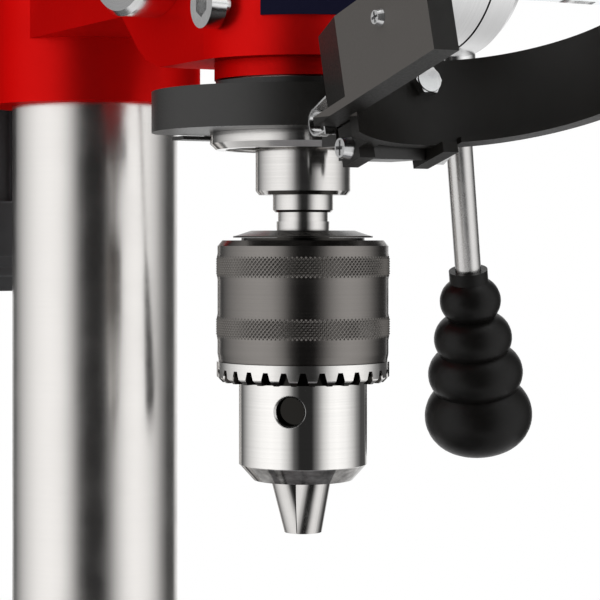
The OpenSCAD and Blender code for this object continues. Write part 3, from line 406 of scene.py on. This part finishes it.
jaw_steel = bright_metal("jaw_steel", (0.57, 0.555, 0.54), 0.06)
rim_steel = bright_metal("rim_steel", (0.55, 0.54, 0.53), 0.2)
# Near black for the key holes' bores: painted shade.
bore_shade_steel = bright_metal("bore_shade_steel", (0.05, 0.047, 0.044), 0.35)
plated = bright_metal("plated", (0.72, 0.72, 0.72), 0.16)
rod_steel = bright_metal("rod_steel", (0.6, 0.59, 0.58), 0.22)
dark_steel = bright_metal("dark_steel", (0.22, 0.22, 0.23), 0.35)
knurl_black = bright_metal("knurl_black", (0.13, 0.122, 0.114), 0.24)

# The guard's flat side face is painted paler as painted light.
guard_plastic = moulded_plastic("guard_plastic", (0.0085, 0.0076, 0.0064), 0.4,
                                lift=0.06, shine=0.22, lit_cheek=(0.085, 0.078, 0.072))
collar_plastic = moulded_plastic("collar_plastic", (0.009, 0.008, 0.0068), 0.36, lift=0.06)
knob_plastic = moulded_plastic("knob_plastic", (0.006, 0.0055, 0.005), 0.36,
                               grain=900, lift=0.03, shine=0.18)
box_plastic = moulded_plastic("box_plastic", (0.02, 0.02, 0.02), 0.45)
green_plastic = moulded_plastic("green_plastic", (0.02, 0.28, 0.06), 0.35)
red_plastic = moulded_plastic("red_plastic", (0.5, 0.015, 0.015), 0.35)
clear_plastic = clear_sheet("clear_plastic")
belt_rubber = belt_cover("belt_rubber")

# Finish of each CAD node
FINISH = {
    red_paint: ["head"],
    plate_paint: ["front_plate"],
    black_paint: ["base", "column_flange", "belt_tray", "lid", "motor", "motor_plate",
                  "table_bracket"],
    table_iron: ["table"],
    column_steel: ["column"],
    spindle_steel: ["quill", "quill_ring", "spindle", "arbor", "quill_bearings",
                    "pulley_bearing", "chuck_nut"],
    feed_steel: ["feed_hub", "depth_ring", "spring_cap", "feed_shaft"],
    motor_steel: ["motor_shaft"],
    black_oxide: ["chuck_sleeve"],
    cap_black: ["chuck_cap"],
    pulley_alloy: ["spindle_pulley"],
    motor_alloy: ["motor_pulley"],
    chuck_steel: ["chuck_body"],
    tooth_steel: ["tooth_ring"],
    jaw_steel: ["jaw_a", "jaw_b", "jaw_c"],
    plated: ["quill_lock", "guard_pin", "guard_screws", "guard_clip", "collar_screw",
             "flange_bolts", "motor_bolts", "tray_screws", "tilt_bolt", "lid_pin"],
    rod_steel: ["lever_rods", "slide_bars"],
    dark_steel: ["head_screws", "return_spring"],
    guard_plastic: ["guard_holder"],
    collar_plastic: ["guard_collar"],
    knob_plastic: ["lever_knobs", "tension_knob", "lid_knob", "clamp_lever", "depth_screw"],
    box_plastic: ["switch_box"],
    green_plastic: ["button_on"],
    red_plastic: ["button_off"],
    clear_plastic: ["guard_screen"],
    belt_rubber: ["belt"],
}
for material, names in FINISH.items():
    for name in names:
        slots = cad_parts[name].data.materials
        slots.clear()
        slots.append(material)


# Fine pieces on the chuck

def join_rows(mesh_data, rows):
    """Joins each closed row of points to the next and the last to the first; returns the faces."""
    faces = []
    for j, near in enumerate(rows):
        far = rows[(j + 1) % len(rows)]
        sides = [(i, (i + 1) % len(near)) for i in range(len(near))]
        faces.append([mesh_data.faces.new((near[i], near[k], far[k], far[i])) for i, k in sides])
    bmesh.ops.recalc_face_normals(mesh_data, faces=mesh_data.faces)
    return faces


def add_piece(name, mesh_data, materials, body):
    """Makes a piece from mesh data, with its materials, and lets it ride on a body."""
    mesh = bpy.data.meshes.new(name)
    mesh_data.to_mesh(mesh)
    mesh_data.free()
    for material in materials:
        mesh.materials.append(material)
    piece = new_object(name, mesh)
    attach(piece, body)


# A knurled band: diamonds round it and up it, points along each diamond, height of the ridges over
# the sleeve, and depth of the band's root inside it
KNURL_COUNT = 126
KNURL_ROWS = 5
KNURL_STEPS = 6
KNURL_DEPTH = 0.45 * MM
KNURL_ROOT = 0.3 * MM

# Name of each band, and its lower and upper edge from the chuck's top in millimetres
KNURL_BANDS = (("knurl_upper", -11.7, -4.5), ("knurl_lower", -29.6, -22.4))


def round_row(mesh_data, z, radii):
    """A closed row of points round the spindle, one for each radius."""
    step = 2 * math.pi / len(radii)
    return [mesh_data.verts.new((r * math.cos(i * step), SPINDLE_Y + r * math.sin(i * step), z))
            for i, r in enumerate(radii)]


def zigzag(value):
    """One at whole numbers and zero halfway between them."""
    return abs(2 * (value % 1) - 1)


def knurl_band(name, low, high):
    """A band of diamond knurling round the chuck sleeve, closed inside the sleeve's wall."""
    around = KNURL_COUNT * KNURL_STEPS
    up = KNURL_ROWS * KNURL_STEPS
    root = [SLEEVE_R - KNURL_ROOT] * around
    mesh_data = bmesh.new()
    rows = [round_row(mesh_data, low, root)]
    for j in range(up + 1):
        t = j / KNURL_STEPS
        edge = min(1.0, t, KNURL_ROWS - t)
        radii = []
        for i in range(around):
            s = i / KNURL_STEPS
            ridge = 1 - max(zigzag(s + t), zigzag(s - t))
            radii.append(SLEEVE_R + KNURL_DEPTH * ridge * edge)
        rows.append(round_row(mesh_data, low + (high - low) * j / up, radii))
    rows.append(round_row(mesh_data, high, root))
    join_rows(mesh_data, rows)
    add_piece(name, mesh_data, [knurl_black], "sleeve")


for name, low_mm, high_mm in KNURL_BANDS:
    knurl_band(name, CHUCK_Z + low_mm * MM, CHUCK_Z + high_mm * MM)

# Radius of each ring of a key hole's bush and its depth under the body's skin, in millimetres
BUSH_RINGS = ((4.75, 2.6), (4.75, 0.04), (4.62, 0.0), (4.2, 0.55), (4.2, 2.6))
# The row of faces between those rings that is the bore, painted dark as painted shade
BUSH_BORE = 3
BUSH_SEGMENTS = 64


def bush_row(mesh_data, out, across, radius, depth):
    """A closed row of points round a key hole, at a depth under the body's round skin."""
    centre = Vector((0, SPINDLE_Y, KEY_Z))
    row = []
    for i in range(BUSH_SEGMENTS):
        a = 2 * math.pi * i / BUSH_SEGMENTS
        side = radius * math.cos(a)
        reach = math.sqrt(BODY_R ** 2 - side ** 2) - depth
        place = centre + out * reach + across * side + UP * (radius * math.sin(a))
        row.append(mesh_data.verts.new(place))
    return row


def key_bushes():
    """Bushes in the mouths of the three key holes: a bright bevel and a bore painted near black as
    painted shade.
    """
    mesh_data = bmesh.new()
    for turn in KEY_TURNS:
        angle = math.radians(turn)
        out = Vector((math.sin(angle), -math.cos(angle), 0))
        across = Vector((math.cos(angle), math.sin(angle), 0))
        rows = [bush_row(mesh_data, out, across, radius * MM, depth * MM)
                for radius, depth in BUSH_RINGS]
        for face in join_rows(mesh_data, rows)[BUSH_BORE]:
            face.material_index = 1
    add_piece("key_bushes", mesh_data, [rim_steel, bore_shade_steel], "spindle")


key_bushes()


# Stage, light and camera

FLOOR_R = 0.75
FLOOR_SIDES = 96
FLOOR_DROP = 0.5 * MM
FLOOR_FADE = (0.32, 0.72)


def stage_floor():
    """Pale round floor that fades into the white background."""
    turns = [2 * math.pi * i / FLOOR_SIDES for i in range(FLOOR_SIDES)]
    ring = [(FLOOR_R * math.cos(a), FLOOR_R * math.sin(a), -FLOOR_DROP) for a in turns]
    mesh = bpy.data.meshes.new("floor")
    mesh.from_pydata(ring, [], [list(range(FLOOR_SIDES))])
    material, tree, shader = start_material("floor")
    shader.inputs["Base Color"].default_value = (0.86, 0.86, 0.86, 1.0)
    shader.inputs["Roughness"].default_value = 0.8
    coords = tree.nodes.new("ShaderNodeTexCoord").outputs["Object"]
    fade = remap(tree, vector_node(tree, "LENGTH", coords).outputs["Value"], *FLOOR_FADE)
    path = tree.nodes.new("ShaderNodeLightPath").outputs
    seen = calculate(tree, "MAXIMUM", path["Is Camera Ray"], path["Is Glossy Ray"])
    seen = calculate(tree, "MAXIMUM", seen, path["Is Transmission Ray"])
    white = tree.nodes.new("ShaderNodeEmission").outputs["Emission"]
    mix_shaders(tree, calculate(tree, "MULTIPLY", fade, seen), shader.outputs["BSDF"], white,
                tree.nodes["Material Output"])
    mesh.materials.append(material)
    floor = new_object("floor", mesh)


# Brightness of the studio round the object: degrees to the right of the camera, and radiance
STUDIO = (
    (-180, 1.0), (-159, 0.9), (-148, 0.15), (-138, 0.14), (-126, 0.4), (-110, 0.75), (-95, 1.0),
    (-80, 1.2), (-60, 1.3), (-42, 1.2), (-28, 0.75), (-16, 0.14), (-6, 0.025), (16, 0.025),
    (26, 0.28), (37, 0.8), (50, 1.2), (64, 1.3), (82, 1.15), (97, 0.8), (112, 0.32), (126, 0.08),
    (146, 0.08), (159, 0.9), (180, 1.0),
)
STUDIO_PEAK = 1.3


def studio_world():
    """White to the camera; to the object, a white wall behind it and soft lights at its sides."""
    world = bpy.data.worlds.new("studio")
    bpy.context.scene.world = world
    world.use_nodes = True
    tree = world.node_tree
    direction = tree.nodes.new("ShaderNodeTexCoord").outputs["Generated"]
    turn = calculate(tree, "ARCTAN2", along(tree, direction, RIGHT), along(tree, direction, -SIGHT))
    stops = [((angle + 180) / 360, (level / STUDIO_PEAK,) * 3) for angle, level in STUDIO]
    room = tree.nodes["Background"]
    colour = ramp(tree, remap(tree, turn, -math.pi, math.pi), stops)
    tree.links.new(colour, room.inputs["Color"])
    room.inputs["Strength"].default_value = STUDIO_PEAK
    white = tree.nodes.new("ShaderNodeBackground")
    white.inputs["Color"].default_value = (1, 1, 1, 1)
    path = tree.nodes.new("ShaderNodeLightPath").outputs
    seen = calculate(tree, "MAXIMUM", path["Is Camera Ray"], path["Is Transmission Ray"])
    mix_shaders(tree, seen, room.outputs["Background"], white.outputs["Background"],
                tree.nodes["World Output"])


LAMP_SIZE = 2.4
LAMP_RADIANCE = 0.5
LAMP_NEARER = 0.2
LAMP_UP = 1.6


def top_light():
    """A broad soft lamp over the object, facing down."""
    light = bpy.data.lights.new("top_box", "AREA")
    light.shape = "SQUARE"
    light.size = LAMP_SIZE
    light.energy = LAMP_RADIANCE * math.pi * LAMP_SIZE ** 2
    lamp = new_object("top_box", light)
    lamp.location = AIM - SIGHT * LAMP_NEARER + UP * LAMP_UP
    lamp.rotation_euler = (0, 0, -VIEW_TURN)


def studio_camera():
    """Camera level with the chuck's top, turned and framed as in the photograph."""
    data = bpy.data.cameras.new("camera")
    data.sensor_width = SENSOR_MM
    data.lens = FOCAL_PX * SENSOR_MM / IMAGE_PX
    data.shift_x = (IMAGE_PX / 2 - SPINDLE_PX) / IMAGE_PX
    data.shift_y = (HORIZON_PX - IMAGE_PX / 2) / IMAGE_PX
    data.clip_start = 10 * MM
    camera = new_object("camera", data)
    camera.location = AIM - SIGHT * VIEW_DEPTH
    camera.rotation_euler = (math.radians(90), 0, -VIEW_TURN)
    bpy.context.scene.camera = camera


bpy.context.scene.view_settings.view_transform = "Standard"
stage_floor()
studio_world()
top_light()
studio_camera()
